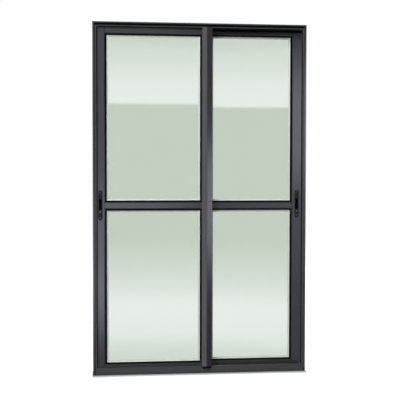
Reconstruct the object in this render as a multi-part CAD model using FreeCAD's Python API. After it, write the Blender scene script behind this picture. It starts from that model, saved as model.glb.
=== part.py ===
import FreeCAD
import Part
import os

# Sliding patio door: a fixed frame and two glazed leaves on two tracks.
# X runs along the door, Y from the room side (-) to the far side (+), Z up.
# The origin is in the middle of the sill's underside. All sizes are in millimetres.

# overall size
frame_width = 1285.0
frame_height = 2100.0

# depth of the frame, front to back
lip_thickness = 6.0
leaf_clearance = 5.5
leaf_depth = 25.0
leaf_gap = 16.0

# frame sections
jamb_face = 23.5
jamb_web = 11.0
head_face = 27.0
sill_face = 44.0
sill_web = 10.0
jamb_groove_from = 9.5
jamb_groove_to = 14.5
head_groove_from = 8.0
head_groove_to = 21.0
sill_groove_from = 10.0
sill_groove_to = 13.5
frame_groove_depth = 4.0
sill_groove_depth = 1.5

# tracks
track_thickness = 4.0
track_height = 20.0
track_rounding = 1.2
guide_reach = 18.0
brush_reach = 5.5
brush_thickness = 3.0
brush_inset = 1.0
stop_length = 16.0
stop_gap = 5.0
stop_reach = 13.0

# leaves
leaf_side_clearance = 6.5
leaf_under_clearance = 6.0
leaf_over_clearance = 6.4
left_lock_stile_width = 55.0
right_lock_stile_width = 58.5
front_meeting_left = 9.0
front_meeting_width = 60.0
rear_meeting_left = 12.0
rear_meeting_width = 50.0
bottom_rail_height = 48.0
left_mid_rail_bottom = 992.0
left_mid_rail_top = 1033.5
left_top_rail_bottom = 2031.5
right_mid_rail_bottom = 991.5
right_mid_rail_top = 1030.5
right_top_rail_bottom = 2039.0
rail_wall = 3.0
bottom_rail_web = 6.0
top_channel_depth = 22.0
bevel = 0.8
glazing_slope_width = 5.0
glazing_slope_drop = 1.2

# glazing
gasket_width = 10.0
gasket_recess = 4.0
gasket_slope = 3.0
glass_thickness = 6.0
glass_bite = 6.0

# rollers and guides
roller_radius = 12.0
roller_width = 8.0
roller_gap = 0.3
roller_offset = 90.0
carriage_length = 50.0
carriage_height = 14.0
guide_block_length = 40.0
guide_block_gap = 0.3
guide_block_height = 10.0

# interlock fins
fin_thickness = 3.0
front_fin_reach = 8.0
rear_fin_reach = 11.0
front_fin_left = 45.0
rear_fin_left = 36.0
fin_end_clearance = 10.0

# pull profile on the front meeting stile
pull_left = 10.0
pull_width = 59.0
pull_ridge = 26.0
pull_clearance = 5.0
pull_edge = 4.0
pull_crown = 9.0
pull_rounding = 8.0
pull_over_sill = 2.0
pull_over_head = 3.0
pull_foot_left = 6.0
pull_foot_width = 40.0
pull_foot_clearance = 6.0
pull_cap_height = 9.0
pull_cap_inset = 3.0

# handles
handle_centre = 597.5
handle_width = 27.0
handle_clearance = 5.0
handle_height = 168.0
left_handle_extra = 11.0
handle_proud = 1.5
handle_edge = 0.6
handle_centre_height = 1020.0
pocket_width = 15.0
pocket_height = 64.0
pocket_depth = 12.0
pocket_wall = 2.0
cup_gap = 0.2
knob_radius = 5.0
knob_length = 1.5
knob_drop = 44.0
knob_edge = 0.5

# wall fixing holes
fixing_radius = 3.25
fixing_from_end = 300.0

# places that follow
frame_depth = 2 * (lip_thickness + leaf_clearance + leaf_depth) + leaf_gap
half_width = frame_width / 2
front = -frame_depth / 2
head_web = jamb_web * head_face / jamb_face
web_inner = half_width - jamb_web
lip_inner = half_width - jamb_face
head_lip = frame_height - head_face
head_under = frame_height - head_web
leaf_outer = web_inner - leaf_side_clearance
leaf_bottom = sill_web + leaf_under_clearance
leaf_top = head_under - leaf_over_clearance
leaf_middle = (leaf_gap + leaf_depth) / 2
bottom_rail_top = leaf_bottom + bottom_rail_height
track_top = sill_web + track_height
channel_half = leaf_depth / 2 - rail_wall
channel_top = bottom_rail_top - bottom_rail_web
channel_floor = leaf_top - top_channel_depth
guide_bottom = head_under - guide_reach
front_meeting_right = front_meeting_left + front_meeting_width
rear_meeting_right = rear_meeting_left + rear_meeting_width
travel = handle_centre - handle_width / 2 - handle_clearance - front_meeting_right


def box(x0, x1, y0, y1, z0, z1):
    """A block between two corners."""
    return Part.makeBox(x1 - x0, y1 - y0, z1 - z0, FreeCAD.Vector(x0, y0, z0))


def prism(points, direction):
    """A closed outline swept along a direction."""
    vectors = [FreeCAD.Vector(*p) for p in points]
    face = Part.Face(Part.makePolygon(vectors + vectors[:1]))
    return face.extrude(FreeCAD.Vector(*direction))


def mirrored(shape):
    """The same shape on the other side of the door's middle."""
    return shape.mirror(FreeCAD.Vector(0, 0, 0), FreeCAD.Vector(1, 0, 0))


def bar_outline(u0, u1, y, low_slope, high_slope):
    """A leaf bar's section as (u, y) pairs; its edges towards glass slope, the others are only broken."""
    y0, y1 = y - leaf_depth / 2, y + leaf_depth / 2
    b0, d0 = (glazing_slope_width, glazing_slope_drop) if low_slope else (bevel, bevel)
    b1, d1 = (glazing_slope_width, glazing_slope_drop) if high_slope else (bevel, bevel)
    return [(u0, y0 + d0), (u0 + b0, y0), (u1 - b1, y0), (u1, y0 + d1),
            (u1, y1 - d1), (u1 - b1, y1), (u0 + b0, y1), (u0, y1 - d0)]


parts = {}
X_AXIS = FreeCAD.Vector(1, 0, 0)
Y_AXIS = FreeCAD.Vector(0, 1, 0)

# left jamb: a channel open to the leaves, mitred into the head
jamb = box(-half_width, -lip_inner, front, -front, 0, frame_height)
jamb = jamb.cut(box(-web_inner, -lip_inner, front + lip_thickness, -front - lip_thickness, 0, frame_height))
jamb = jamb.cut(box(-half_width + jamb_groove_from, -half_width + jamb_groove_to,
                    front, front + frame_groove_depth, 0, frame_height))
mitre_top = prism([(-half_width, front, frame_height), (-lip_inner, front, head_lip),
                   (-lip_inner, front, frame_height)], (0, frame_depth, 0))
jamb = jamb.cut(mitre_top)
for z in (fixing_from_end, frame_height - fixing_from_end):
    at = FreeCAD.Vector(-half_width - 1, 0, z)
    jamb = jamb.cut(Part.makeCylinder(fixing_radius, jamb_web + 2, at, X_AXIS))
parts["left_jamb"] = jamb
parts["right_jamb"] = mirrored(jamb)

# head: a channel open downwards, with a guide fin over each leaf
head = box(-half_width, half_width, front, -front, head_lip, frame_height)
head = head.cut(box(-half_width, half_width, front + lip_thickness, -front - lip_thickness, head_lip, head_under))
head = head.cut(box(-half_width, half_width, front, front + frame_groove_depth,
                    frame_height - head_groove_to, frame_height - head_groove_from))
for side in (-1, 1):
    y = side * leaf_middle
    head = head.fuse(box(-half_width, half_width, y - track_thickness / 2, y + track_thickness / 2,
                         guide_bottom, head_under))
corner = prism([(-half_width, front, frame_height), (-lip_inner, front, head_lip),
                (-lip_inner, front, guide_bottom - 1), (-half_width, front, guide_bottom - 1)],
               (0, frame_depth, 0))
head = head.cut(corner).cut(mirrored(corner))
parts["head"] = head.removeSplitter()

# sill: its web runs between the jambs' webs, its lips between the jambs' lips
sill = box(-web_inner, web_inner, front + lip_thickness, -front - lip_thickness, 0, sill_web)
for y in (front, -front - lip_thickness):
    sill = sill.fuse(box(-lip_inner, lip_inner, y, y + lip_thickness, 0, sill_face))
sill = sill.cut(box(-lip_inner, lip_inner, front, front + sill_groove_depth, sill_groove_from, sill_groove_to))
parts["sill"] = sill.removeSplitter()

# track rails on the sill
for name, side in (("front_track_rail", -1), ("rear_track_rail", 1)):
    y = side * leaf_middle
    rail = box(-web_inner, web_inner, y - track_thickness / 2, y + track_thickness / 2, sill_web, track_top)
    top_edges = [e for e in rail.Edges if min(v.Z for v in e.Vertexes) > track_top - 0.1
                 and abs(e.Vertexes[0].Y - e.Vertexes[-1].Y) < 0.1]
    parts[name] = rail.makeFillet(track_rounding, top_edges)

# brush strips in the edges of the front lips
brush_front = front + brush_inset
brush_back = brush_front + brush_thickness
parts["head_brush"] = box(-lip_inner + brush_reach, lip_inner - brush_reach, brush_front, brush_back,
                          head_lip - brush_reach, head_lip)
brush = box(-lip_inner, -lip_inner + brush_reach, brush_front, brush_back, sill_face, head_lip)
parts["left_jamb_brush"] = brush
parts["right_jamb_brush"] = mirrored(brush)

# stops in the head's channel, where each leaf's travel ends
stop_start = front_meeting_right + travel + stop_gap
stop = box(stop_start, stop_start + stop_length, -leaf_middle + track_thickness / 2,
           -leaf_middle + leaf_depth / 2, head_under - stop_reach, head_under)
parts["front_head_stop"] = stop
rear_stop_start = rear_meeting_left - travel - stop_gap
parts["rear_head_stop"] = box(rear_stop_start - stop_length, rear_stop_start,
                              leaf_middle - leaf_depth / 2, leaf_middle - track_thickness / 2,
                              head_under - stop_reach, head_under)


def channels(x0, x1, y):
    """The room for the track rail below a leaf and for the guide fin above it."""
    return (box(x0, x1, y - channel_half, y + channel_half, leaf_bottom, channel_top),
            box(x0, x1, y - channel_half, y + channel_half, channel_floor, leaf_top))


def stile(x0, x1, y, glass_left, glass_right):
    """An upright of a leaf, notched for the rail and the fin."""
    outline = bar_outline(x0, x1, y, glass_left, glass_right)
    bar = prism([(u, v, leaf_bottom) for u, v in outline], (0, 0, leaf_top - leaf_bottom))
    for room in channels(x0, x1, y):
        bar = bar.cut(room)
    return bar


def rail_bar(x0, x1, y, z0, z1, glass_below, glass_above):
    """A cross bar of a leaf."""
    outline = bar_outline(z0, z1, y, glass_below, glass_above)
    return prism([(x0, v, u) for u, v in outline], (x1 - x0, 0, 0))


def rolling_carriage(x, y):
    """A roller with its housing in the bottom rail."""
    axle = track_top + roller_gap + roller_radius
    wheel = Part.makeCylinder(roller_radius, roller_width, FreeCAD.Vector(x, y - roller_width / 2, axle), Y_AXIS)
    housing = box(x - carriage_length / 2, x + carriage_length / 2, y - channel_half, y + channel_half,
                  channel_top - carriage_height, channel_top)
    return wheel.fuse(housing).removeSplitter()


def guide_block(x, y):
    """A slotted block in the top rail that holds the leaf on the guide fin."""
    slot = track_thickness / 2 + guide_block_gap
    block = box(x - guide_block_length / 2, x + guide_block_length / 2, y - channel_half, y + channel_half,
                channel_floor, guide_bottom + guide_block_height)
    return block.cut(box(x - guide_block_length, x + guide_block_length, y - slot, y + slot,
                         guide_bottom - leaf_under_clearance, leaf_top))


def window(x0, x1, z0, z1, y0, y1, inset0, inset1):
    """A tapered hole through a gasket, with its inset from the opening at both ends."""
    wires = []
    for v, inset in ((y0, inset0), (y1, inset1)):
        corners = [FreeCAD.Vector(x0 + inset, v, z0 + inset), FreeCAD.Vector(x1 - inset, v, z0 + inset),
                   FreeCAD.Vector(x1 - inset, v, z1 - inset), FreeCAD.Vector(x0 + inset, v, z1 - inset)]
        wires.append(Part.makePolygon(corners + corners[:1]))
    return Part.makeLoft(wires, True, True)


def glazing(x0, x1, z0, z1, y):
    """A pane and the gasket frame around it, for one opening of a leaf."""
    half = leaf_depth / 2 - gasket_recess
    edge = gasket_width - glass_bite
    wide = gasket_width - gasket_slope
    pane = box(x0 + edge, x1 - edge, y - glass_thickness / 2, y + glass_thickness / 2, z0 + edge, z1 - edge)
    ring = box(x0, x1, y - half, y + half, z0, z1)
    ring = ring.cut(window(x0, x1, z0, z1, y - half, y, wide, gasket_width))
    ring = ring.cut(window(x0, x1, z0, z1, y, y + half, gasket_width, wide))
    return pane, ring.cut(pane)


def handle(x, y, extra):
    """A flush pull plate with its finger pocket, and the room that it takes in the stile.

    The plate runs on further down by the extra length.
    """
    straight = handle_height + extra - handle_width
    z0 = handle_centre_height - (handle_height - handle_width) / 2 - extra
    plate = box(x - handle_width / 2, x + handle_width / 2, y - handle_proud, y, z0, z0 + straight)
    for z in (z0, z0 + straight):
        plate = plate.fuse(Part.makeCylinder(handle_width / 2, handle_proud,
                                             FreeCAD.Vector(x, y - handle_proud, z), Y_AXIS))
    plate = plate.removeSplitter()
    rim = [e for e in plate.Edges if all(v.Y < y - handle_proud + 0.1 for v in e.Vertexes)]
    plate = plate.makeChamfer(handle_edge, rim)
    pocket_low = handle_centre_height - pocket_height / 2
    inner = box(x - pocket_width / 2, x + pocket_width / 2, y - handle_proud, y + pocket_depth,
                pocket_low, pocket_low + pocket_height)
    w = pocket_wall
    cup = box(x - pocket_width / 2 - w, x + pocket_width / 2 + w, y - 0.5, y + pocket_depth + w,
              pocket_low - w, pocket_low + pocket_height + w)
    g = w + cup_gap
    room = box(x - pocket_width / 2 - g, x + pocket_width / 2 + g, y - 1, y + pocket_depth + g,
               pocket_low - g, pocket_low + pocket_height + g)
    return plate.fuse(cup).cut(inner).removeSplitter(), room


def knob(x, y):
    """The thumb turn below the finger pocket."""
    z = handle_centre_height - knob_drop
    turn = Part.makeCylinder(knob_radius, knob_length, FreeCAD.Vector(x, y - handle_proud - knob_length, z), Y_AXIS)
    rim = [e for e in turn.Edges if all(v.Y < y - handle_proud - knob_length + 0.1 for v in e.Vertexes)]
    return turn.makeChamfer(knob_edge, rim)


def leaf(prefix, side, lock_width, meeting_left, meeting_right, fin_left, mid_rail_bottom, mid_rail_top,
         top_rail_bottom):
    """All the pieces of one leaf; side -1 is the left leaf on the front track, 1 the right leaf on the rear one."""
    y = side * leaf_middle
    face = y - leaf_depth / 2
    lock_inner = leaf_outer - lock_width
    if side < 0:
        outer, lock, meeting = -leaf_outer, -lock_inner, meeting_left
        lock_bar = stile(outer, lock, y, False, True)
        meeting_bar = stile(meeting, meeting_right, y, True, False)
        x0, x1 = lock, meeting
        fin_y0, fin_y1 = y + leaf_depth / 2, y + leaf_depth / 2 + front_fin_reach
    else:
        lock_bar = stile(lock_inner, leaf_outer, y, True, False)
        meeting_bar = stile(meeting_left, meeting_right, y, False, True)
        x0, x1 = meeting_right, lock_inner
        fin_y0, fin_y1 = face - rear_fin_reach, face
    plate, room = handle(side * handle_centre, face, left_handle_extra if side < 0 else 0.0)
    parts[prefix + "_lock_stile"] = lock_bar.cut(room)
    parts[prefix + "_meeting_stile"] = meeting_bar
    parts[prefix + "_handle"] = plate
    parts[prefix + "_thumb_turn"] = knob(side * handle_centre, face)

    below, above = channels(x0, x1, y)
    parts[prefix + "_bottom_rail"] = rail_bar(x0, x1, y, leaf_bottom, bottom_rail_top, False, True).cut(below)
    parts[prefix + "_mid_rail"] = rail_bar(x0, x1, y, mid_rail_bottom, mid_rail_top, True, True)
    parts[prefix + "_top_rail"] = rail_bar(x0, x1, y, top_rail_bottom, leaf_top, True, False).cut(above)

    pane, ring = glazing(x0, x1, mid_rail_top, top_rail_bottom, y)
    parts[prefix + "_upper_glass"] = pane
    parts[prefix + "_upper_gasket"] = ring
    pane, ring = glazing(x0, x1, bottom_rail_top, mid_rail_bottom, y)
    parts[prefix + "_lower_glass"] = pane
    parts[prefix + "_lower_gasket"] = ring

    parts[prefix + "_interlock_fin"] = box(fin_left, fin_left + fin_thickness, fin_y0, fin_y1,
                                           leaf_bottom + fin_end_clearance, leaf_top - fin_end_clearance)
    for end, x in (("left", x0 + roller_offset), ("right", x1 - roller_offset)):
        parts[prefix + "_" + end + "_roller"] = rolling_carriage(x, y)
        parts[prefix + "_" + end + "_guide"] = guide_block(x, y)


leaf("left_leaf", -1, left_lock_stile_width, front_meeting_left, front_meeting_right, front_fin_left,
     left_mid_rail_bottom, left_mid_rail_top, left_top_rail_bottom)
leaf("right_leaf", 1, right_lock_stile_width, rear_meeting_left, rear_meeting_right, rear_fin_left,
     right_mid_rail_bottom, right_mid_rail_top, right_top_rail_bottom)

# pull profile: a crowned cover that runs in front of the frame's lips, on a foot that fits between them
cover_back = front - pull_clearance
cover_edge = cover_back - pull_edge
cover_crown = cover_edge - pull_crown
leaf_front = -leaf_middle - leaf_depth / 2
pull_bottom = sill_face - pull_over_sill
pull_top = head_lip + pull_over_head
ridge = pull_left + pull_ridge
pull_right = pull_left + pull_width
cover = prism([(pull_left, cover_back, pull_bottom), (pull_left, cover_edge, pull_bottom),
               (ridge, cover_crown, pull_bottom), (pull_right, cover_edge, pull_bottom),
               (pull_right, cover_back, pull_bottom)], (0, 0, pull_top - pull_bottom))
crown_edges = [e for e in cover.Edges if all(abs(v.X - ridge) < 0.1 and abs(v.Y - cover_crown) < 0.1
                                             for v in e.Vertexes)]
cover = cover.makeFillet(pull_rounding, crown_edges)
foot = box(pull_left + pull_foot_left, pull_left + pull_foot_left + pull_foot_width, cover_back, leaf_front,
           sill_face + pull_foot_clearance, head_lip - brush_reach - pull_foot_clearance)
parts["left_leaf_pull_profile"] = cover.fuse(foot).removeSplitter()
parts["left_leaf_pull_end_cap"] = box(pull_left + pull_cap_inset, pull_right - pull_cap_inset,
                                      cover_edge, cover_back, pull_bottom - pull_cap_height, pull_bottom)

os.makedirs("parts", exist_ok=True)
for name, shape in parts.items():
    shape.exportStep("parts/%s.step" % name)
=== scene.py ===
import math
import random

import bmesh
import bpy
from mathutils import Matrix, Vector


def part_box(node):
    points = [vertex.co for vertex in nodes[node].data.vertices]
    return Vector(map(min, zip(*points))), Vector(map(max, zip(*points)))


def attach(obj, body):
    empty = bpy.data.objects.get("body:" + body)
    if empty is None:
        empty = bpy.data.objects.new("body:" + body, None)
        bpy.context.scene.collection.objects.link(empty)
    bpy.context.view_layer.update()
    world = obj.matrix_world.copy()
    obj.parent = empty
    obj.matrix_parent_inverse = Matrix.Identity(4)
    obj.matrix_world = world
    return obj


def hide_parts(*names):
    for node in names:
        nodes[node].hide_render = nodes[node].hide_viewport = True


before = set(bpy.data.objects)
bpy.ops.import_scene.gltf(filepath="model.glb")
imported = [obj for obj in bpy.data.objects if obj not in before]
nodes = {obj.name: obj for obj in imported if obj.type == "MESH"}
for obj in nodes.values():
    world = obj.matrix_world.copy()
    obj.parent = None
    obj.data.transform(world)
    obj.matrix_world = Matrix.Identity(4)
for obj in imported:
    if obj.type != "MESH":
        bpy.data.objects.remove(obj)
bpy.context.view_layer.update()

MM = 0.001

# camera: found by fitting a pinhole camera to the corners and the glass edges in the photograph
CAMERA_PLACE = (-0.5868, -5.4064, 1.2307)
CAMERA_YAW = 6.21
CAMERA_PITCH = 1.967
CAMERA_ROLL = 0.072
FOCAL_PIXELS = 900.0
FRAME_PIXELS = 400.0
SENSOR_WIDTH = 36.0

# colours, linear
PAINT = (0.0305, 0.0315, 0.0335)
PAINT_PALE = (0.0345, 0.0355, 0.0375)
# the frame paint's paler colour towards the floor
LOW_PALE = (0.040, 0.0395, 0.038)
GLASS_TINT = (0.646, 0.731, 0.625)
RUBBER = (0.0016, 0.0020, 0.0016)
PILE = (0.0008, 0.0008, 0.0008)
PILE_PALE = (0.004, 0.004, 0.0042)
HANDLE = (0.0065, 0.0070, 0.0075)
# painted shade: the black of the strip in the left jamb's groove, in place of the groove's shade
GROOVE_SHADE = (0.002, 0.0022, 0.0025)
NYLON = (0.02, 0.02, 0.021)
STEEL = (0.20, 0.20, 0.21)
ALUMINIUM = (0.55, 0.56, 0.57)
SEALANT = (0.53, 0.565, 0.53)
SEALANT_PALE = (0.59, 0.62, 0.59)

# the paint's least and greatest roughness: on the leaves, and on the frame away from the jambs' outer band
SATIN = (0.11, 0.155)
DULL = (0.32, 0.42)
JAMB_BAND = (0.6272, 0.6288)
# how far the frame paint turns paler towards the floor, and the heights over which that fades out
LOW_PALE_SHARE = 0.9
LOW_PALE_HEIGHTS = (0.02, 0.30)

# the glass: how far its tint drifts, and an index that gives the strong reflections of the photograph
GLASS_DRIFT = 0.004
GLASS_IOR = 2.3

# lips and beads round the panes, in metres; BAR_LESS is how much less they reach in from the rails
LIP_FROM = 8.2 * MM
LIP_TO = 11.6 * MM
LIP_HEIGHT = 4.6 * MM
LIP_EDGE = 0.6 * MM
BEAD_FROM = 11.2 * MM
BEAD_WIDTH = 10.0 * MM
BEAD_HEIGHT = 4.3 * MM
BEAD_CURVE = 1.6
BEAD_GAP = 0.05 * MM
BEAD_STEPS = 6
BAR_LESS = 1.6 * MM

# strips, plugs and seals on the frame and the leaves; a groove runs from and to so far inside the outer edge,
# and the black strip in it is painted shade
JAMB_GROOVE = (9.5 * MM, 14.5 * MM)
HEAD_GROOVE = (8 * MM, 21 * MM)
GROOVE_SHADE_FRONT = 2.0 * MM
GROOVE_SHADE_EDGE = 0.6 * MM
GROOVE_SHADE_EDGE_SHARE = 0.12
GROOVE_SHADE_BACK = 3.9 * MM
GROOVE_SHADE_FOOT = 1.0 * MM
FOOT_HEIGHT = 7 * MM
FOOT_SIDES = 0.4 * MM
FOOT_PROUD = 0.8 * MM
FOOT_EDGE = 0.3 * MM
FOOT_CORNER = 1.0 * MM
PLUG = (17 * MM, 7 * MM)
PLUG_HEIGHT = 12 * MM
PLUG_INSET = 0.6 * MM
SILL_GROOVE_MIDDLE = 11.75 * MM
SILL_GROOVE_DEPTH = 1.5 * MM
DRIP_RADIUS = 3.0 * MM
DRIP_REACH = 3.6 * MM
DRIP_STEPS = 8
# the black strip of painted shade along the top of the rear leaf: its gap, thickness, drop, height and steps
TOP_SHADE_GAP = 0.05 * MM
TOP_SHADE_THICK = 1.0 * MM
TOP_SHADE_DROP = 1.0 * MM
TOP_SHADE_HEIGHT = 20.5 * MM
TOP_SHADE_STEPS = 4
SOLE_RIDGE = 34 * MM
SOLE_BEHIND_TIP = 1.2 * MM
SOLE_FRONT_SHARE = 0.4
SOLE_STEPS = 8
# how far the sole's sides stand in, at each depth below the profile's foot, in millimetres; the rows below
# the end cap are painted shade
SOLE_SIDES = [(0.8, 0.0), (0.8, 10.0), (1.4, 11.6), (3.0, 12.8), (5.5, 13.4)]

# the brushes, in shares of the strip's reach or depth or of the tufts' pitch where it isn't metres;
# TUFT_ROWS is the first row's place and the distance to the second
BRUSH_BACKING = 0.22
TUFT_PITCH = 2.6 * MM
TUFT_LEAN = 0.5 * MM
TUFT_START = 0.75
TUFT_ROWS = (0.27, 0.46)
TUFT_HALF_WIDTH = 0.46
TUFT_HALF_DEPTH = 0.20
TUFT_TIP = 0.62
TUFT_REACH = (0.90, 1.0)

# the pull plates: screws, thumb turn bar and pocket liner
SCREW_FROM_END = 14 * MM
SCREW_RADIUS = 4.0 * MM
SCREW_DOME = 0.9 * MM
SCREW_SIDES = 24
SCREW_RINGS = (1.0, 0.9, 0.78, 0.64)
SCREW_SEAT = 0.6 * MM
CROSS_ARM = 0.5
CROSS_SLIM = 0.14
CROSS_FLOOR = 0.7
CROSS_DEPTH = 0.3 * MM
TURN_BAR = (2.4 * MM, 7.6 * MM)
TURN_BAR_PROUD = 1.0 * MM
TURN_BAR_EDGE = 0.35 * MM
TURN_BAR_CORNER = 1.1 * MM
PAD_STEPS = 4
PAD_LEAST_RADIUS = 0.05 * MM
POCKET = (15 * MM, 64 * MM)
POCKET_HEIGHT = 1020 * MM
POCKET_DEPTH = 13.5 * MM
LINER_GAP = 0.1 * MM
LINER_BELOW = 0.7 * MM
LINER_WALL = 0.6 * MM
LINER_TAPER = 1.0 * MM

# light: what the panes mirror, by elevation in degrees, and the cards that the satin paint mirrors,
# each from and to an azimuth right of straight ahead, from and to an elevation, and a level;
# CARD_STEP is the two azimuths between which the panes' cards step down, and their offset on either side
PANE_CARDS = [(-13.0, 0.15), (-11.7, 0.34), (-11.1, 0.52), (-10.2, 0.90), (-9.2, 1.0), (-8.3, 1.0),
              (-7.4, 0.68), (-6.4, 0.43), (-5.5, 0.25), (-4.5, 0.05), (-4.2, 0.0), (4.15, 0.0),
              (4.31, 1.0), (5.0, 0.97), (5.6, 0.93), (6.2, 0.77), (6.9, 0.58), (7.5, 0.49),
              (8.2, 0.20), (12.0, 0.1)]
CARD_SPAN = 14.5
CARD_TILT = 0.006
CARD_STEP = (6.7, 7.1, 0.0017, 0.0048)
CARD_LEVEL = 1.52
PANE_TINT = (1.03, 0.965, 1.14)
SATIN_TINT = (0.90, 0.99, 1.07)
SATIN_CARDS = [(-101, -17, -30, 30, 1.58), (-10, 5, -1.6, 10, 0.85), (-10, 5, -3.4, -1.6, 3.1),
               (-10, 5, -6.0, -3.4, 1.8), (-10, 5, -9.8, -6.0, 3.9), (7, 20, -30, -5.5, 0.6),
               (7, 20, -5.5, -3.2, 1.2), (7, 20, -3.2, -0.8, 0.4), (11.3, 20, -0.8, 6.6, 3.8),
               (7, 11.3, -0.8, 5.0, 1.0), (28, 46, -5.8, 1.3, 3.4), (50, 101, -30, 30, 1.25),
               (-101, 101, 35, 101, 1.0)]
CARD_EDGE = 0.6
AMBIENT = 0.06
LAMP_TARGET = (0, 0, 1.1)
LAMPS = [("key_light", (-4.4, -5.4, 4.8), 2.4, 300), ("fill_light", (-1.2, -5.2, 7.6), 3.6, 560),
         ("back_light", (2.6, 5.4, 5.6), 3.2, 380)]

# the floor: its tone, and its lift to white over FLOOR_SHADOW_REACH metres from the door's footprint,
# so many times sooner past the door's ends, and in full between the FLOOR_FAR distances
# painted shadow: near the footprint the floor is left unlifted and darker, on top of its real shadow
FLOOR_SIZE = 12.0
FLOOR_TONE = 0.28
FLOOR_LIFT_NEAR = 0.78
FLOOR_LIFT_FAR = 0.95
FLOOR_SHADOW_REACH = 0.09
FLOOR_FAR = (1.0, 4.0)
FLOOR_ENDS = 12.0
FOOTPRINT = (0.6425, 0.0445, 0.0)


class Graph:
    """Adds nodes to a node tree. An input is a number, a colour or another node's output."""

    def __init__(self, tree):
        self.tree = tree

    def node(self, kind, outlet=0, inputs=None, **settings):
        made = self.tree.nodes.new(kind)
        for key, value in settings.items():
            setattr(made, key, value)
        for key, value in (inputs or {}).items():
            self.feed(made.inputs[key], value)
        return made.outputs[outlet]

    def feed(self, socket, value):
        if isinstance(value, bpy.types.NodeSocket):
            self.tree.links.new(value, socket)
        else:
            socket.default_value = value

    def math(self, operation, *values):
        return self.node("ShaderNodeMath", operation=operation, inputs=dict(enumerate(values)))

    def mix(self, factor, a, b):
        return self.node("ShaderNodeMix", inputs={"Factor": factor, "A": a, "B": b})

    def blend(self, factor, a, b):
        """Mixes two colours."""
        made = self.tree.nodes.new("ShaderNodeMix")
        made.data_type = "RGBA"
        for socket, value in zip((made.inputs[0], made.inputs[6], made.inputs[7]), (factor, a, b)):
            self.feed(socket, value)
        return made.outputs[2]

    def light_path(self, ray):
        return self.node("ShaderNodeLightPath", outlet=ray)

    def span(self, value, low, high, start=0.0, end=1.0, smooth=False):
        """Maps start..end to low..high."""
        kind = "SMOOTHSTEP" if smooth else "LINEAR"
        return self.node("ShaderNodeMapRange", interpolation_type=kind, inputs={
            "Value": value, "From Min": start, "From Max": end, "To Min": low, "To Max": high})

    def ramp(self, fac, stops):
        made = self.tree.nodes.new("ShaderNodeValToRGB")
        points = made.color_ramp.elements
        while len(points) < len(stops):
            points.new(0.5)
        for point, (at, colour) in zip(points, stops):
            point.position = at
            point.color = (*colour, 1)
        self.feed(made.inputs["Fac"], fac)
        return made.outputs["Color"]


class Shader(Graph):
    """A node material with one Principled shader."""

    def __init__(self, name):
        self.material = bpy.data.materials.new(name)
        self.material.use_nodes = True
        super().__init__(self.material.node_tree)
        self.principled = self.tree.nodes["Principled BSDF"]

    def set(self, **values):
        for key, value in values.items():
            self.feed(self.principled.inputs[key.replace("_", " ")], value)

    def place(self, scale=(1, 1, 1)):
        """Object coordinates, in metres along the door's own axes."""
        coords = self.node("ShaderNodeTexCoord", outlet="Object")
        return self.node("ShaderNodeMapping", inputs={"Vector": coords, "Scale": scale})

    def noise(self, vector, scale, detail=2.0, roughness=0.5):
        """Noise with so many waves a metre."""
        return self.node("ShaderNodeTexNoise", inputs={
            "Vector": vector, "Scale": scale, "Detail": detail, "Roughness": roughness})

    def bump(self, height, strength, distance):
        self.set(Normal=self.node("ShaderNodeBump", inputs={
            "Height": height, "Strength": strength, "Distance": distance}))


def powder_coat(name, smooth, rough, paler_low):
    """Satin anthracite powder coat: fine orange peel, faint cloudiness, uneven gloss.

    The frame's kind turns paler towards the floor, and only the outer band of its jambs is as glossy
    as the leaves.
    """
    s = Shader(name)
    at = s.place()
    colour = s.ramp(s.noise(at, scale=9.0, detail=3.0), [(0.30, PAINT), (0.70, PAINT_PALE)])
    uneven = s.noise(at, scale=55.0, detail=4.0)
    gloss = s.span(uneven, smooth, rough)
    if paler_low:
        split = s.tree.nodes.new("ShaderNodeSeparateXYZ")
        s.feed(split.inputs[0], at)
        # paler towards the floor, in patches
        low = s.span(split.outputs["Z"], paler_low, 0.0, *LOW_PALE_HEIGHTS, smooth=True)
        paler_low_mask = s.math("MULTIPLY", low, s.span(s.noise(at, scale=22.0, detail=4.0), 0.6, 1.0))
        colour = s.blend(paler_low_mask, colour, (*LOW_PALE, 1))
        outer = s.span(s.math("ABSOLUTE", split.outputs["X"]), 0.0, 1.0, *JAMB_BAND, smooth=True)
        gloss = s.mix(outer, gloss, s.span(uneven, *SATIN))
    s.set(Base_Color=colour, Roughness=gloss)
    s.bump(s.noise(at, scale=1400.0, roughness=0.6), strength=0.05, distance=0.0003)
    return s.material


def pane_glass():
    """Pale green tempered glass whose tint drifts a little from place to place."""
    s = Shader("pale_green_glass")
    tints = [tuple(c * (1 + drift) for c in GLASS_TINT) for drift in (-GLASS_DRIFT, GLASS_DRIFT)]
    clouds = s.noise(s.place(), scale=3.0, detail=3.0)
    s.set(Base_Color=s.ramp(clouds, [(0.35, tints[0]), (0.65, tints[1])]),
          Transmission_Weight=1.0, Roughness=0.0, IOR=GLASS_IOR)
    return s.material


def sealant_bead():
    """Smooth pale silicone, slightly uneven where it was drawn along the pane."""
    s = Shader("pale_sealant")
    at = s.place()
    s.set(Base_Color=s.ramp(s.noise(at, scale=30.0), [(0.35, SEALANT), (0.65, SEALANT_PALE)]),
          Roughness=s.span(s.noise(at, scale=80.0), 0.40, 0.55), Specular_IOR_Level=0.3)
    s.bump(s.noise(at, scale=60.0), strength=0.15, distance=0.0006)
    return s.material


def rubber():
    """Matt black extruded rubber with fine grain."""
    s = Shader("black_gasket_rubber")
    at = s.place()
    pale = tuple(1.8 * c for c in RUBBER)
    s.set(Base_Color=s.ramp(s.noise(at, scale=40.0, detail=3.0), [(0.3, RUBBER), (0.8, pale)]),
          Roughness=s.span(s.noise(at, scale=120.0), 0.60, 0.80), Specular_IOR_Level=0.03)
    s.bump(s.noise(at, scale=900.0, detail=3.0), strength=0.25, distance=0.0003)
    return s.material


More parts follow.
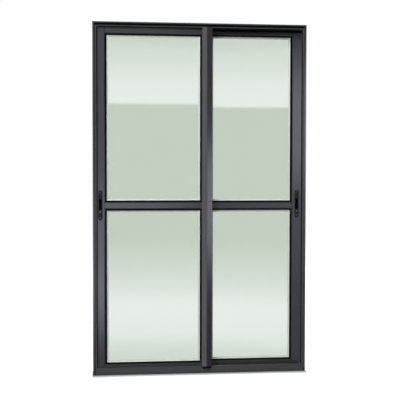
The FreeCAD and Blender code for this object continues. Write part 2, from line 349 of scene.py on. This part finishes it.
def pile():
    """Dense brush pile: fine upright fibres."""
    s = Shader("black_brush_pile")
    fibres = s.noise(s.place((1, 1, 0.04)), scale=1500.0)
    s.set(Base_Color=s.ramp(fibres, [(0.35, PILE), (0.75, PILE_PALE)]), Roughness=0.95,
          Specular_IOR_Level=0.03)
    s.bump(fibres, strength=0.8, distance=0.0006)
    return s.material


def moulded(name, colour, rough, shine=0.5):
    """Moulded plastic with a fine spark-eroded grain."""
    s = Shader(name)
    at = s.place()
    pale = tuple(1.5 * c for c in colour)
    s.set(Base_Color=s.ramp(s.noise(at, scale=60.0, detail=3.0), [(0.35, colour), (0.75, pale)]),
          Roughness=s.span(s.noise(at, scale=150.0), rough - 0.06, rough + 0.06), Specular_IOR_Level=shine)
    s.bump(s.noise(at, scale=700.0), strength=0.15, distance=0.0003)
    return s.material


def metal(name, colour, rough, grain_scale):
    """Bare metal with drawn or brushed grain along one direction."""
    s = Shader(name)
    grain = s.noise(s.place(grain_scale), scale=300.0, detail=4.0)
    dark = tuple(0.8 * c for c in colour)
    s.set(Base_Color=s.ramp(grain, [(0.3, dark), (0.7, colour)]),
          Roughness=s.span(grain, rough - 0.08, rough + 0.10), Metallic=1.0)
    s.bump(grain, strength=0.15, distance=0.0002)
    return s.material


leaf_paint = powder_coat("anthracite_satin", *SATIN, paler_low=0.0)
frame_paint = powder_coat("anthracite_dull", *DULL, paler_low=LOW_PALE_SHARE)
glass = pane_glass()
sealant = sealant_bead()
gasket_rubber = rubber()
brush_pile = pile()
black_plastic = moulded("black_handle_plastic", HANDLE, rough=0.42, shine=0.25)
# painted shade: the glossy black of the left jamb's groove strip
groove_shade_plastic = moulded("black_groove_shade_plastic", GROOVE_SHADE, rough=0.15, shine=0.27)
nylon = moulded("dark_nylon", NYLON, rough=0.5)
steel = metal("dark_brushed_steel", STEEL, rough=0.35, grain_scale=(1, 1, 30))
aluminium = metal("drawn_aluminium", ALUMINIUM, rough=0.38, grain_scale=(0.02, 1, 1))


def material_for(name):
    if name.endswith("glass"):
        return glass
    if name.endswith("gasket") or name.endswith("end_cap"):
        return gasket_rubber
    if name.endswith("brush"):
        return brush_pile
    if name.endswith("handle"):
        return black_plastic
    if name.endswith("thumb_turn"):
        return steel
    if name.endswith("track_rail"):
        return aluminium
    if name.endswith(("roller", "guide", "stop", "fin")):
        return nylon
    return leaf_paint if "leaf" in name else frame_paint


for name, obj in nodes.items():
    obj.data.materials.clear()
    obj.data.materials.append(material_for(name))
    if name.endswith("glass"):
        obj.visible_shadow = False
    # the stiles mirror the studio and not the lips in front of them
    if "jamb" in name:
        obj.visible_glossy = False


def new_piece(name, bm, material, body):
    """A mesh object from a bmesh, riding on a body."""
    mesh = bpy.data.meshes.new(name)
    bm.normal_update()
    bm.to_mesh(mesh)
    bm.free()
    piece = bpy.data.objects.new(name, mesh)
    bpy.context.scene.collection.objects.link(piece)
    mesh.materials.append(material)
    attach(piece, body)
    return piece


def swept(name, rows, closed, material, body):
    """Skins equal rows of points; the last row joins the first where the sweep is closed."""
    bm = bmesh.new()
    rings = [[bm.verts.new(p) for p in row] for row in rows]
    pairs = list(zip(rings, rings[1:] + rings[:1]))
    for one, two in pairs if closed else pairs[:-1]:
        for i in range(len(one)):
            j = (i + 1) % len(one)
            bm.faces.new((one[i], one[j], two[j], two[i]))
    if not closed:
        bm.faces.new(rings[0])
        bm.faces.new(rings[-1])
    bmesh.ops.recalc_face_normals(bm, faces=bm.faces)
    return new_piece(name, bm, material, body)


def around_pane(name, opening, section, material, body):
    """Sweeps a section of (inset, y) points round a rectangle, inset less along its low and high sides."""
    left, right, low, high = opening
    corners = ((1, 1, left, low), (-1, 1, right, low), (-1, -1, right, high), (1, -1, left, high))
    rows = []
    for side_x, side_z, x, z in corners:
        rows.append([(x + side_x * inset, y, z + side_z * (inset - BAR_LESS)) for inset, y in section])
    return swept(name, rows, True, material, body)


# the gaskets' soft lips and the sealant beads where the panes meet them, on both faces
for leaf in ("left_leaf", "right_leaf"):
    for level in ("upper", "lower"):
        low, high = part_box(f"{leaf}_{level}_gasket")
        opening = (low.x, high.x, low.z, high.z)
        glass_low, glass_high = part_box(f"{leaf}_{level}_glass")
        for side, face, out in (("front", glass_low.y, -1), ("rear", glass_high.y, 1)):
            section = [(LIP_FROM, face + out * BEAD_GAP), (LIP_FROM, face + out * LIP_HEIGHT),
                       (LIP_TO - LIP_EDGE, face + out * LIP_HEIGHT),
                       (LIP_TO, face + out * (LIP_HEIGHT - LIP_EDGE)), (LIP_TO, face + out * BEAD_GAP)]
            around_pane(f"{leaf}_{level}_{side}_lip", opening, section, gasket_rubber, leaf)
            section = [(BEAD_FROM, face + out * BEAD_GAP)]
            for step in range(BEAD_STEPS + 1):
                share = step / BEAD_STEPS
                section.append((BEAD_FROM + BEAD_WIDTH * share,
                                face + out * (BEAD_GAP + BEAD_HEIGHT * (1 - share) ** BEAD_CURVE)))
            around_pane(f"{leaf}_{level}_{side}_bead", opening, section, sealant, leaf)


def brush_strip(name, rng):
    """A backing strip with two staggered rows of leaning bristle tufts, in the room of the CAD strip."""
    low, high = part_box(name)
    lies_flat = name == "head_brush"
    start, end = (low.x, high.x) if lies_flat else (low.z, high.z)
    if lies_flat:
        root, tip = high.z, low.z
    else:
        root, tip = (low.x, high.x) if low.x < 0 else (high.x, low.x)
    reach = tip - root
    depth = high.y - low.y

    def block(bm, centre, y, half_along, half_y, lean, taper, out):
        """A closed block from the root to its tip."""
        rings = []
        for shift, share, height in ((0.0, 1.0, 0.0), (lean, taper, out)):
            ring = []
            for side_s, side_y in ((-1, -1), (1, -1), (1, 1), (-1, 1)):
                along = min(max(centre + shift + side_s * half_along * share, start), end)
                depth_at = y + side_y * half_y * share
                across = root + reach * height
                place = (along, depth_at, across) if lies_flat else (across, depth_at, along)
                ring.append(bm.verts.new(place))
            rings.append(ring)
        for i in range(4):
            j = (i + 1) % 4
            bm.faces.new((rings[0][i], rings[0][j], rings[1][j], rings[1][i]))
        bm.faces.new(rings[0])
        bm.faces.new(rings[1])

    bm = bmesh.new()
    block(bm, (start + end) / 2, (low.y + high.y) / 2, (end - start) / 2, depth / 2, 0.0, 1.0, BRUSH_BACKING)
    first_row, row_pitch = TUFT_ROWS
    for row in (0, 1):
        count = int((end - start) / TUFT_PITCH) - 1
        for index in range(count):
            centre = start + TUFT_PITCH * (index + TUFT_START + 0.5 * row)
            block(bm, centre, low.y + depth * (first_row + row_pitch * row), TUFT_PITCH * TUFT_HALF_WIDTH,
                  depth * TUFT_HALF_DEPTH, rng.uniform(-1, 1) * TUFT_LEAN, TUFT_TIP, rng.uniform(*TUFT_REACH))
    bmesh.ops.recalc_face_normals(bm, faces=bm.faces)
    piece = new_piece(name + "_bristles", bm, brush_pile, "frame")
    piece.visible_glossy = False
    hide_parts(name)


tuft_draws = random.Random(11)
for name in ("head_brush", "left_jamb_brush", "right_jamb_brush"):
    brush_strip(name, tuft_draws)


def groove_shade_strips():
    """Black strips seated in the grooves up the left jamb and across the head, mitred at their corner:
    painted shade, in place of the shade inside the grooves.
    """
    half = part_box("head")[1].x
    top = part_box("head")[1].z
    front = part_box("head")[0].y
    outer_x, inner_x = half - JAMB_GROOVE[0], half - JAMB_GROOVE[1]
    outer_z, inner_z = top - HEAD_GROOVE[0], top - HEAD_GROOVE[1]
    side = GROOVE_SHADE_FRONT + GROOVE_SHADE_EDGE
    profile = [(0.0, GROOVE_SHADE_BACK), (0.0, side), (GROOVE_SHADE_EDGE_SHARE, GROOVE_SHADE_FRONT),
               (1 - GROOVE_SHADE_EDGE_SHARE, GROOVE_SHADE_FRONT), (1.0, side), (1.0, GROOVE_SHADE_BACK)]
    section = []
    for share, depth in profile:
        section.append((outer_x + (inner_x - outer_x) * share, front + depth,
                        outer_z + (inner_z - outer_z) * share))
    foot, corner, end = ([(way * x, y, GROOVE_SHADE_FOOT if low else z) for x, y, z in section]
                         for way, low in ((-1, True), (-1, False), (1, False)))
    swept("left_jamb_groove_shade_strip", (foot, corner), False, groove_shade_plastic, "frame")
    swept("head_groove_shade_strip", (corner, end), False, gasket_rubber, "frame")


groove_shade_strips()


def top_shade_strip(leaf):
    """Black rubber strip along the top of the rear leaf's face: painted shade, which darkens the recess under
    the head in place of its shadow.
    """
    low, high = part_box(f"{leaf}_top_rail")
    start, end = (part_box(f"{leaf}_{stile}_stile") for stile in ("meeting", "lock"))
    face = low.y
    section = [(face - TOP_SHADE_GAP, high.z - TOP_SHADE_DROP), (face - TOP_SHADE_THICK, high.z - TOP_SHADE_DROP)]
    for step in range(TOP_SHADE_STEPS + 1):
        turn = math.pi / 2 * step / TOP_SHADE_STEPS
        section.append((face - TOP_SHADE_GAP - (TOP_SHADE_THICK - TOP_SHADE_GAP) * math.cos(turn),
                        high.z - TOP_SHADE_HEIGHT - TOP_SHADE_THICK * math.sin(turn)))
    rows = [[(x, y, z) for y, z in section] for x in (start[0].x + TOP_SHADE_DROP, end[1].x - TOP_SHADE_DROP)]
    swept(f"{leaf}_top_shade_strip", rows, False, gasket_rubber, leaf)


top_shade_strip("right_leaf")


def pull_sole_and_shade():
    """Black rubber sole under the crowned pull profile, with its own crown and a rounded lower edge; the part
    that hangs below the end cap is painted shade, in place of the shadow on the sill.
    """
    low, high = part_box("left_leaf_pull_end_cap")
    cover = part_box("left_leaf_pull_profile")
    ridge, tip = cover[0].x + SOLE_RIDGE, cover[0].y
    rows = []
    for inset, below in SOLE_SIDES:
        inset *= MM
        z = high.z - below * MM
        left, right = low.x + inset, high.x - inset
        front, crown = low.y + inset * SOLE_FRONT_SHARE, tip + SOLE_BEHIND_TIP + inset
        row = [(left, high.y, z), (left, front, z)]
        for step in range(1, SOLE_STEPS):
            share = step / SOLE_STEPS
            ends, pull = (1 - share) ** 2 + share ** 2, 2 * share * (1 - share)
            x = left * (1 - share) ** 2 + 2 * ridge * share * (1 - share) + right * share ** 2
            row.append((x, front * ends + (2 * crown - front) * pull, z))
        row += [(right, front, z), (right, high.y, z)]
        rows.append(row)
    piece = swept("left_leaf_pull_sole", rows, False, gasket_rubber, "left_leaf")
    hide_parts("left_leaf_pull_end_cap")


pull_sole_and_shade()


def raised_pad(bm, centre, size, proud, edge, corner):
    """A flat pad on a face that looks towards -Y, with rounded corners and a sloped edge."""
    rows = []
    for shrink, out in ((0.0, 0.0), (0.0, proud - edge), (edge, proud)):
        width, height = size[0] / 2 - shrink, size[1] / 2 - shrink
        radius = max(corner - shrink, PAD_LEAST_RADIUS)
        row = []
        for quarter in range(4):
            cx = (width - radius) * (1 if quarter in (0, 3) else -1)
            cz = (height - radius) * (1 if quarter in (0, 1) else -1)
            for step in range(PAD_STEPS + 1):
                turn = math.pi / 2 * (quarter + step / PAD_STEPS)
                row.append(bm.verts.new((centre[0] + cx + radius * math.cos(turn), centre[1] - out,
                                         centre[2] + cz + radius * math.sin(turn))))
        rows.append(row)
    for one, two in zip(rows, rows[1:]):
        for i in range(len(one)):
            j = (i + 1) % len(one)
            bm.faces.new((one[i], one[j], two[j], two[i]))
    bm.faces.new(rows[0])
    bm.faces.new(rows[-1])


def jamb_feet():
    """Painted end plugs at the foot of both jambs, and a small black plug over the right one."""
    for side in ("left", "right"):
        low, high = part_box(f"{side}_jamb")
        bm = bmesh.new()
        centre = ((low.x + high.x) / 2, low.y, FOOT_HEIGHT / 2)
        raised_pad(bm, centre, (high.x - low.x - FOOT_SIDES, FOOT_HEIGHT), FOOT_PROUD, FOOT_EDGE, FOOT_CORNER)
        bmesh.ops.recalc_face_normals(bm, faces=bm.faces)
        new_piece(f"{side}_jamb_foot", bm, frame_paint, "frame")
    bm = bmesh.new()
    centre = (high.x - PLUG[0] / 2 - PLUG_INSET, low.y, PLUG_HEIGHT)
    raised_pad(bm, centre, PLUG, FOOT_PROUD, FOOT_EDGE, FOOT_CORNER)
    bmesh.ops.recalc_face_normals(bm, faces=bm.faces)
    new_piece("right_jamb_plug", bm, gasket_rubber, "frame")


jamb_feet()


def sill_bead():
    """Half-round drip bead in the groove along the front of the sill."""
    low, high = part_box("sill")
    rows = []
    for x in (low.x, high.x):
        row = []
        for step in range(DRIP_STEPS + 1):
            turn = math.pi * step / DRIP_STEPS
            row.append((x, low.y + SILL_GROOVE_DEPTH - DRIP_REACH * math.sin(turn),
                        SILL_GROOVE_MIDDLE + DRIP_RADIUS * math.cos(turn)))
        rows.append(row)
    swept("sill_drip_bead", rows, False, frame_paint, "frame")


sill_bead()


def screw_head(bm, centre, radius):
    """Domed screw head with a cross recess, on a face that looks towards -Y."""
    def at(u, v, out):
        return bm.verts.new((centre[0] + u, centre[1] - out, centre[2] + v))

    def dome(u, v):
        return SCREW_DOME * (1 - (u * u + v * v) / (radius * radius))

    turns = [2 * math.pi * step / SCREW_SIDES for step in range(SCREW_SIDES)]
    rings = []
    for share in SCREW_RINGS:
        ring = []
        for turn in turns:
            u, v = radius * share * math.cos(turn), radius * share * math.sin(turn)
            ring.append(at(u, v, dome(u, v)))
        rings.append(ring)
    base = [at(radius * math.cos(turn), radius * math.sin(turn), -SCREW_SEAT) for turn in turns]
    for one, two in zip([base] + rings, rings):
        for i in range(SCREW_SIDES):
            j = (i + 1) % SCREW_SIDES
            bm.faces.new((one[i], one[j], two[j], two[i]))
    bm.faces.new(base)

    arm, slim = CROSS_ARM * radius, CROSS_SLIM * radius
    corners = [(arm, -slim), (arm, slim), (slim, slim), (slim, arm), (-slim, arm), (-slim, slim),
               (-arm, slim), (-arm, -slim), (-slim, -slim), (-slim, -arm), (slim, -arm), (slim, -slim)]
    mouth = [at(u, v, dome(u, v)) for u, v in corners]
    floor_ring = [at(CROSS_FLOOR * u, CROSS_FLOOR * v, -CROSS_DEPTH) for u, v in corners]
    sides = len(corners)
    edges = [bm.edges.new((mouth[i], mouth[(i + 1) % sides])) for i in range(sides)]
    inner = rings[-1]
    edges += [bm.edges.get((inner[i], inner[(i + 1) % SCREW_SIDES])) for i in range(SCREW_SIDES)]
    bmesh.ops.triangle_fill(bm, edges=edges, use_beauty=True)
    for i in range(sides):
        j = (i + 1) % sides
        bm.faces.new((mouth[i], mouth[j], floor_ring[j], floor_ring[i]))
    bm.faces.new(floor_ring)


def pocket_liner(leaf, plate):
    """Thin black rubber tub pressed into the pull plate's finger pocket."""
    low, high = plate
    middle = (low.x + high.x) / 2
    half_x, half_z = POCKET[0] / 2 - LINER_GAP, POCKET[1] / 2 - LINER_GAP
    mouth = low.y + LINER_BELOW
    back = low.y + POCKET_DEPTH - LINER_GAP
    rows = []
    inner = LINER_WALL + LINER_TAPER
    for shrink, y in ((0, back), (0, mouth), (LINER_WALL, mouth), (inner, back - LINER_WALL)):
        row = []
        for side_x, side_z in ((1, 1), (-1, 1), (-1, -1), (1, -1)):
            row.append((middle + side_x * (half_x - shrink), y, POCKET_HEIGHT + side_z * (half_z - shrink)))
        rows.append(row)
    swept(f"{leaf}_pocket_liner", rows, False, gasket_rubber, leaf)


def handle_fittings(leaf):
    """Two screws on the pull plate, a black liner in its pocket, and a finger bar on its thumb turn."""
    low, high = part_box(f"{leaf}_handle")
    bm = bmesh.new()
    for z in (high.z - SCREW_FROM_END, low.z + SCREW_FROM_END):
        screw_head(bm, ((low.x + high.x) / 2, low.y, z), SCREW_RADIUS)
    bmesh.ops.recalc_face_normals(bm, faces=bm.faces)
    new_piece(f"{leaf}_handle_screws", bm, steel, leaf)
    pocket_liner(leaf, (low, high))

    low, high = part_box(f"{leaf}_thumb_turn")
    bm = bmesh.new()
    centre = ((low.x + high.x) / 2, low.y, (low.z + high.z) / 2)
    raised_pad(bm, centre, TURN_BAR, TURN_BAR_PROUD, TURN_BAR_EDGE, TURN_BAR_CORNER)
    bmesh.ops.recalc_face_normals(bm, faces=bm.faces)
    new_piece(f"{leaf}_thumb_turn_bar", bm, steel, leaf)


for leaf in ("left_leaf", "right_leaf"):
    handle_fittings(leaf)


# stage
bm = bmesh.new()
bmesh.ops.create_grid(bm, x_segments=1, y_segments=1, size=FLOOR_SIZE)
floor_mesh = bpy.data.meshes.new("floor")
bm.to_mesh(floor_mesh)
bm.free()
floor = bpy.data.objects.new("floor", floor_mesh)
bpy.context.scene.collection.objects.link(floor)


def floor_material():
    """Pale studio floor that is lifted to white away from the door's foot; left unlifted by the foot, it
    shows a painted shadow there on top of the real one.
    """
    s = Shader("pale_floor")
    # how far a point lies outside the door's footprint
    beyond = s.node("ShaderNodeVectorMath", operation="ABSOLUTE", inputs={0: s.place()})
    beyond = s.node("ShaderNodeVectorMath", operation="SUBTRACT", inputs={0: beyond, 1: FOOTPRINT})
    beyond = s.node("ShaderNodeVectorMath", operation="MAXIMUM", inputs={0: beyond, 1: (0, 0, 0)})
    beyond = s.node("ShaderNodeVectorMath", operation="MULTIPLY", inputs={0: beyond, 1: (FLOOR_ENDS, 1, 1)})
    away = s.node("ShaderNodeVectorMath", outlet="Value", operation="LENGTH", inputs={0: beyond})
    # painted shadow: the lift fades to nothing at the door's footprint
    near = s.span(away, 0.0, FLOOR_LIFT_NEAR, 0.0, FLOOR_SHADOW_REACH, smooth=True)
    lift = s.math("MAXIMUM", near, s.span(away, 0.0, FLOOR_LIFT_FAR, *FLOOR_FAR, smooth=True))
    s.set(Base_Color=(FLOOR_TONE, FLOOR_TONE, FLOOR_TONE, 1), Roughness=0.9, Emission_Color=(1, 1, 1, 1),
          Emission_Strength=s.math("MULTIPLY", s.light_path("Is Camera Ray"), lift))
    return s.material


floor_mesh.materials.append(floor_material())
floor.visible_glossy = False
floor.visible_transmission = False


def sine(degrees):
    """The sine of an angle, which runs on in a straight line past 90 degrees."""
    return math.sin(math.radians(degrees)) if abs(degrees) < 90 else degrees / 90


def studio_world():
    """White behind the door, an even soft light, and bright studio cards that only reflections show."""
    world = bpy.data.worlds.new("studio")
    world.use_nodes = True
    world.cycles.sampling_method = "NONE"
    world.node_tree.nodes.clear()
    g = Graph(world.node_tree)
    direction = g.node("ShaderNodeTexCoord", outlet="Generated")
    split = world.node_tree.nodes.new("ShaderNodeSeparateXYZ")
    g.feed(split.inputs[0], direction)
    x, z = split.outputs["X"], split.outputs["Z"]

    # the broad cards in front of the door, as the clear panes mirror them
    start, end, low, high = CARD_STEP
    tilted = g.math("MULTIPLY_ADD", x, CARD_TILT, z)
    height = g.math("ADD", tilted, g.span(x, low, high, sine(start), sine(end)))
    reach = sine(CARD_SPAN)
    stops = [(0.5 + 0.5 * sine(angle) / reach, (level, level, level))
             for angle, level in PANE_CARDS]
    sharp = g.math("MULTIPLY", g.ramp(g.span(height, 0.0, 1.0, -reach, reach), stops), CARD_LEVEL)

    # the same studio as the satin paint mirrors it: a dim room with soft cards
    def window(value, low, high):
        rise = g.span(value, 0.0, 1.0, sine(low - CARD_EDGE), sine(low + CARD_EDGE), smooth=True)
        fall = g.span(value, 1.0, 0.0, sine(high - CARD_EDGE), sine(high + CARD_EDGE), smooth=True)
        return g.math("MULTIPLY", rise, fall)

    soft = 0.0
    for left, right, low, high, level in SATIN_CARDS:
        card = g.math("MULTIPLY", window(x, left, right), window(z, low, high))
        soft = g.math("MULTIPLY_ADD", card, level, soft)

    singular, glossy = g.light_path("Is Singular Ray"), g.light_path("Is Glossy Ray")
    lit = g.mix(glossy, AMBIENT, g.mix(singular, soft, sharp))
    tint = g.blend(glossy, (1, 1, 1, 1), g.blend(singular, (*SATIN_TINT, 1), (*PANE_TINT, 1)))
    behind = g.math("MAXIMUM", g.light_path("Is Camera Ray"), g.light_path("Is Transmission Ray"))
    shown = g.node("ShaderNodeBackground", inputs={
        "Color": g.blend(behind, tint, (1, 1, 1, 1)), "Strength": g.mix(behind, lit, 1.0)})
    g.feed(world.node_tree.nodes.new("ShaderNodeOutputWorld").inputs["Surface"], shown)
    return world


bpy.context.scene.world = studio_world()


def softbox(name, place, size, power):
    """A soft square studio lamp aimed at the door, which reflections don't show."""
    lamp = bpy.data.lights.new(name, "AREA")
    lamp.shape = "SQUARE"
    lamp.size = size
    lamp.energy = power
    obj = bpy.data.objects.new(name, lamp)
    bpy.context.scene.collection.objects.link(obj)
    obj.location = place
    obj.rotation_euler = (Vector(LAMP_TARGET) - Vector(place)).to_track_quat("-Z", "Y").to_euler()
    obj.visible_glossy = False


for name, place, size, power in LAMPS:
    softbox(name, place, size, power)

# camera
yaw, pitch, roll = (math.radians(v) for v in (CAMERA_YAW, CAMERA_PITCH, CAMERA_ROLL))
forward = Vector((math.sin(yaw) * math.cos(pitch), math.cos(yaw) * math.cos(pitch), -math.sin(pitch)))
right = Vector((math.cos(yaw), -math.sin(yaw), 0.0))
up = right.cross(forward)
turned_right = right * math.cos(roll) + up * math.sin(roll)
turned_up = up * math.cos(roll) - right * math.sin(roll)
camera_data = bpy.data.cameras.new("camera")
camera_data.sensor_width = SENSOR_WIDTH
camera_data.lens = FOCAL_PIXELS / FRAME_PIXELS * SENSOR_WIDTH
camera = bpy.data.objects.new("camera", camera_data)
bpy.context.scene.collection.objects.link(camera)
turned = Matrix((turned_right, turned_up, -forward)).transposed().to_4x4()
camera.matrix_world = Matrix.Translation(CAMERA_PLACE) @ turned
bpy.context.scene.camera = camera
bpy.context.scene.view_settings.view_transform = "Standard"
